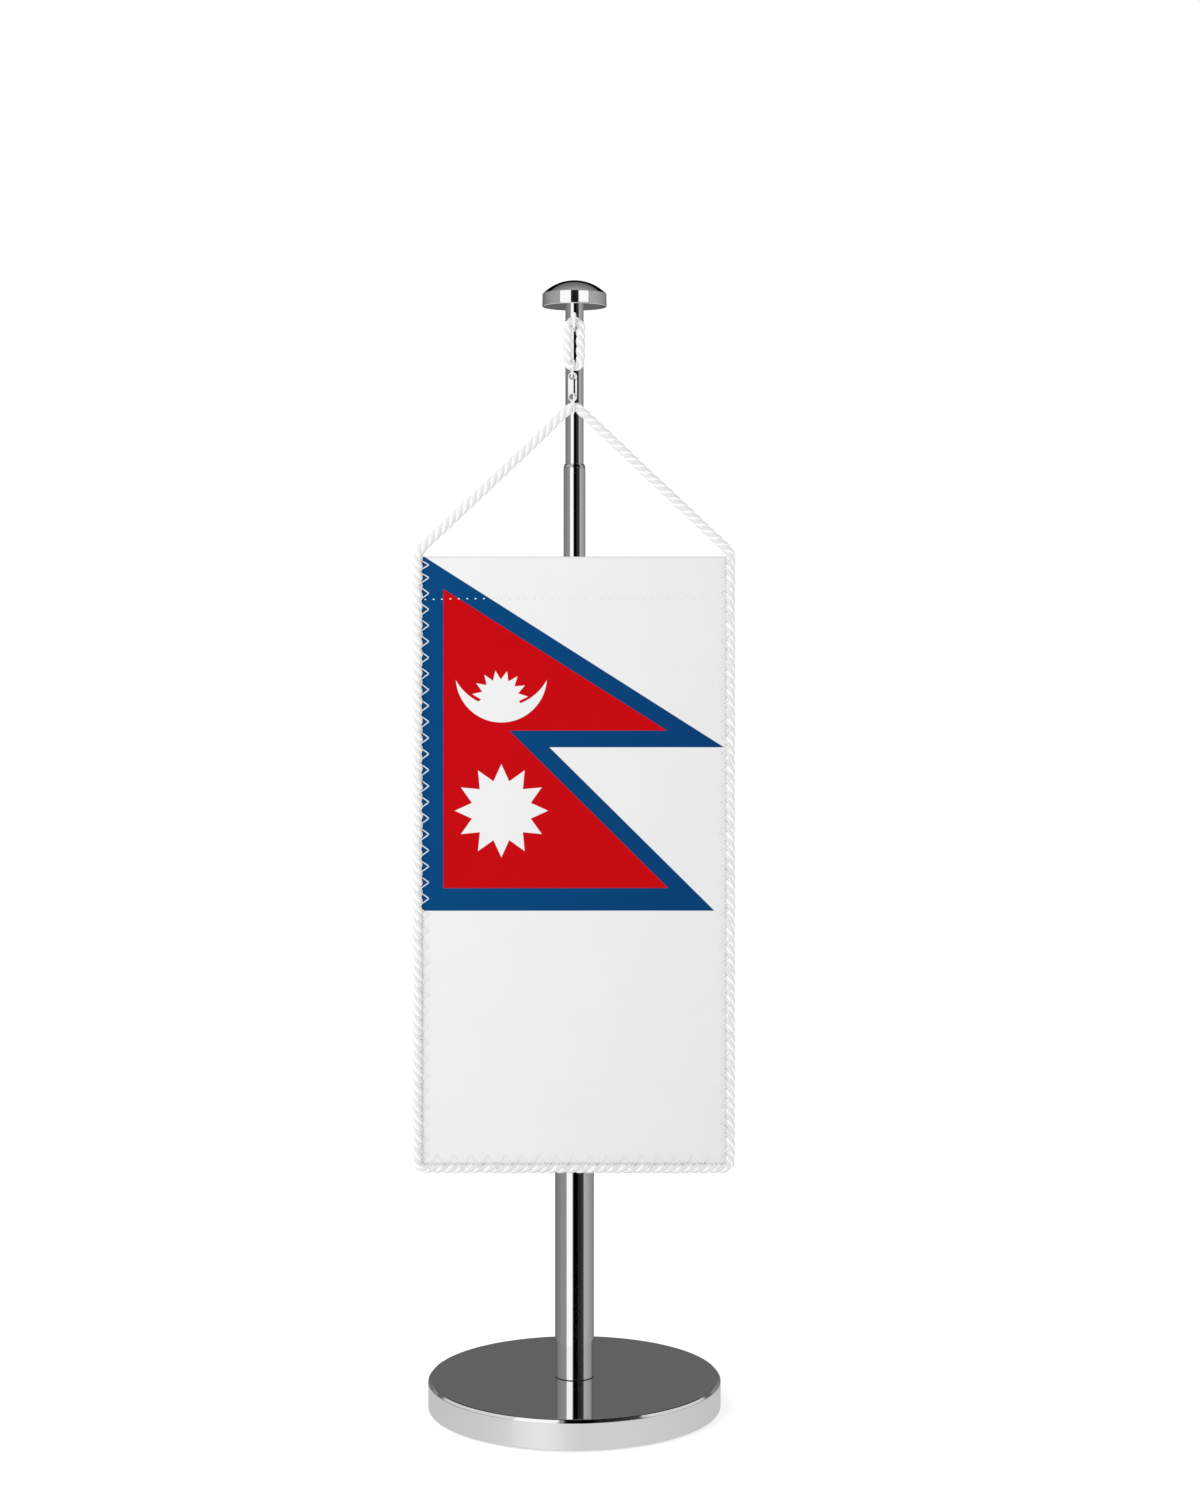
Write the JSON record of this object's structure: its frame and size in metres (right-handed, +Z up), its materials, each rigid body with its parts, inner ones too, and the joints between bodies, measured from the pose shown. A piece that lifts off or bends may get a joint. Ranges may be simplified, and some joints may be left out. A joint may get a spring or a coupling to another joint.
{
  "type": "desk flag stand",
  "caption": "Telescopic chrome pole on a heavy round base with a mushroom finial; a small white banner with a printed flag hangs from a hook by a twisted cord loop and snap link.",
  "frame": {"origin": "centre of the base's underside, on the pole's axis", "axes": "+Z up along the pole, banner in front of it towards -Y"},
  "size_m": [0.1304, 0.12, 0.4624],
  "materials": {
    "chrome": "mirror polished",
    "steel": "bright zinc",
    "nickel": "bright nickel",
    "pad": "matte",
    "black_plastic": "matte",
    "white_plastic": "matte",
    "cord": "twisted three-strand",
    "satin": "satin with a printed flag in red, blue and white"
  },
  "bodies": {
    "stand": {"base_plate": "chrome", "base_pad": "pad", "base_screw": "steel", "base_washer": "steel", "lower_tube": "chrome", "tube_foot": "steel", "tube_collar": "chrome", "collar_bush": "black_plastic"},
    "middle_slider": {"middle_guide": "black_plastic", "middle_brake": "pad"},
    "middle_stage": {"middle_tube": "chrome"},
    "top_slider": {"top_guide": "black_plastic", "top_brake": "pad"},
    "top_stage": {"top_tube": "chrome", "top_insert": "steel", "knob": "chrome", "knob_stud": "steel", "pole_hook": "steel"},
    "loop": {"hanger_loop": "cord"},
    "link": {"loop_ring": "nickel", "snap_body": "nickel", "snap_eyelet": "nickel", "snap_rivet": "nickel", "cord_ring": "nickel"},
    "gate": {"snap_gate": "nickel"},
    "banner": {"banner_cord": "cord", "banner_cloth": "satin", "banner_rod": "white_plastic"}
  },
  "joints": [
    {"name": "middle_slide", "type": "slide", "parent": "stand", "child": "middle_slider", "axis": [0, 0, 1], "range_m": [-0.04, 0.055]},
    {"name": "middle_swivel", "type": "hinge", "parent": "middle_slider", "child": "middle_stage", "pos_m": [0, 0, 0.3], "axis": [0, 0, 1], "continuous": true},
    {"name": "top_slide", "type": "slide", "parent": "middle_stage", "child": "top_slider", "axis": [0, 0, 1], "range_m": [-0.04, 0.055]},
    {"name": "top_swivel", "type": "hinge", "parent": "top_slider", "child": "top_stage", "pos_m": [0, 0, 0.4], "axis": [0, 0, 1], "continuous": true},
    {"name": "loop_sway", "type": "hinge", "parent": "top_stage", "child": "loop", "pos_m": [0, -0.013, 0.4416], "axis": [0, 1, 0], "range_deg": [-20, 20]},
    {"name": "link_swing", "type": "hinge", "parent": "loop", "child": "link", "pos_m": [0, -0.013, 0.4257], "axis": [-1, 0, 0], "range_deg": [-0.3, 40]},
    {"name": "gate_flex", "type": "hinge", "parent": "link", "child": "gate", "pos_m": [0.0008, -0.013, 0.4141], "axis": [0, -1, 0], "range_deg": [0, 6], "stiffness_Nm_per_rad": 0.02},
    {"name": "banner_swing", "type": "hinge", "parent": "link", "child": "banner", "pos_m": [0, -0.013, 0.4094], "axis": [-1, 0, 0], "range_deg": [-0.3, 40]}
  ]
}
